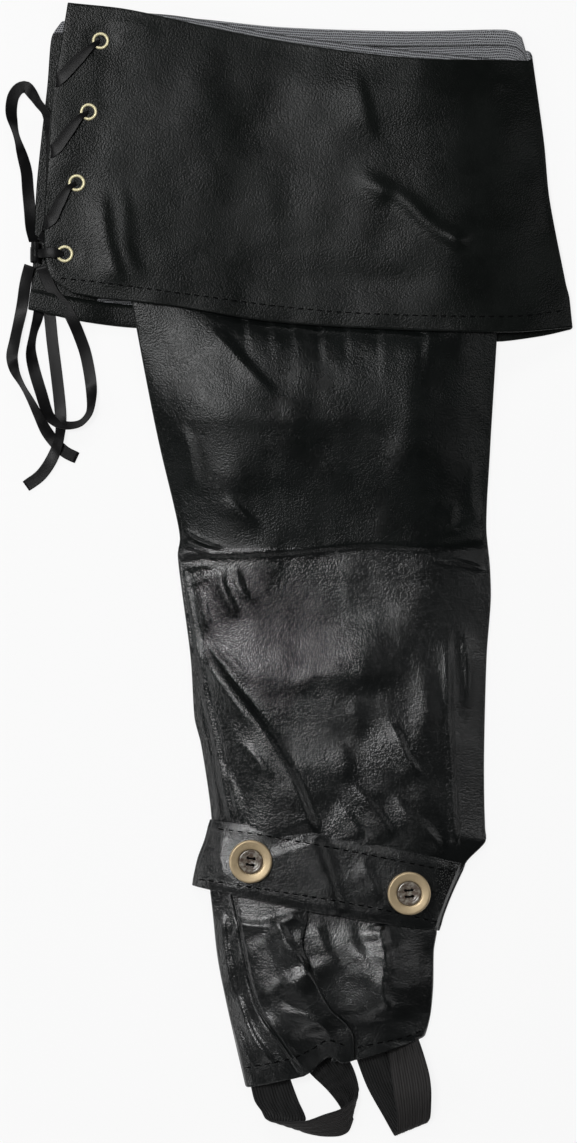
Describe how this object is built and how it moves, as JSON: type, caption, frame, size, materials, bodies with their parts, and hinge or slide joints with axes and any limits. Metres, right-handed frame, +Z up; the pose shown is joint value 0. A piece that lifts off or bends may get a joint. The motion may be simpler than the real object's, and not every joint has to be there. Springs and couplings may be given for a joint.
{
  "type": "costume boot top",
  "caption": "Black leather-look costume boot cover laid flat: laced turned-down cuff with ribbon bow, leg tube, buttoned ankle band, foot flap and two elastic stirrups.",
  "frame": {"origin": "middle of the footprint of the object laid flat on its back, on the surface it lies on, the free ribbon bow left out", "axes": "+Z up from the surface it lies on, +Y from the foot towards the cuff, +X to the right seen from above"},
  "size_m": [0.3004, 0.6022, 0.018],
  "materials": {
    "pu_leather": "semi-gloss, fine grain",
    "satin_ribbon": "satin",
    "elastic": "matte, ribbed",
    "eyelet_brass": "polished",
    "button_metal": "antique satin",
    "button_horn": "mottled, polished",
    "sewing_thread": "matte"
  },
  "bodies": {
    "shaft_upper": {"cuff_front": "pu_leather", "cuff_back": "pu_leather", "leg_front_upper": "pu_leather", "leg_back_upper": "pu_leather", "eyelets_front": "eyelet_brass", "eyelets_back": "eyelet_brass", "washers_front": "eyelet_brass", "washers_back": "eyelet_brass", "lace": "satin_ribbon", "bow_knot": "satin_ribbon", "bow_loop_upper": "satin_ribbon", "bow_loop_lower": "satin_ribbon", "bow_tail_left": "satin_ribbon", "bow_tail_centre": "satin_ribbon"},
    "shaft_lower": {"leg_front_lower": "pu_leather", "leg_back_lower": "pu_leather", "ankle_strap_front": "pu_leather", "ankle_strap_back": "pu_leather"},
    "foot": {"foot_gore": "pu_leather", "foot_front_left": "pu_leather", "foot_front_right": "pu_leather", "foot_back": "pu_leather", "stirrup_left_ends": "elastic", "stirrup_right_ends": "elastic"},
    "stirrup_left": {"stirrup_left": "elastic"},
    "stirrup_right": {"stirrup_right": "elastic"},
    "button_left": {"button_left_rim": "button_metal", "button_left_insert": "button_horn", "button_left_thread": "sewing_thread"},
    "button_right": {"button_right_rim": "button_metal", "button_right_insert": "button_horn", "button_right_thread": "sewing_thread"}
  },
  "joints": [
    {"name": "shaft_fold", "type": "hinge", "parent": "shaft_upper", "child": "shaft_lower", "pos_m": [0.018, 0.0121, 0.0082], "axis": [-1, 0, 0], "range_deg": [0, 150]},
    {"name": "ankle_flex", "type": "hinge", "parent": "shaft_lower", "child": "foot", "pos_m": [0.0091, -0.1805, 0.0108], "axis": [-0.9836, 0.1802, 0], "range_deg": [0, 70]},
    {"name": "stirrup_left_swing", "type": "hinge", "parent": "foot", "child": "stirrup_left", "pos_m": [-0.02781, -0.27633, 0.0024], "axis": [-0.9655, -0.2605, 0], "range_deg": [0, 90]},
    {"name": "stirrup_right_swing", "type": "hinge", "parent": "foot", "child": "stirrup_right", "pos_m": [-0.02781, -0.27633, 0.0038], "axis": [-0.9655, -0.2605, 0], "range_deg": [0, 90]},
    {"name": "button_left_turn", "type": "hinge", "parent": "shaft_lower", "child": "button_left", "pos_m": [-0.02584, -0.15409, 0.0122], "axis": [0, 0, 1], "range_deg": [-25, 25]},
    {"name": "button_right_turn", "type": "hinge", "parent": "shaft_lower", "child": "button_right", "pos_m": [0.05806, -0.17094, 0.0122], "axis": [0, 0, 1], "range_deg": [-25, 25]}
  ]
}
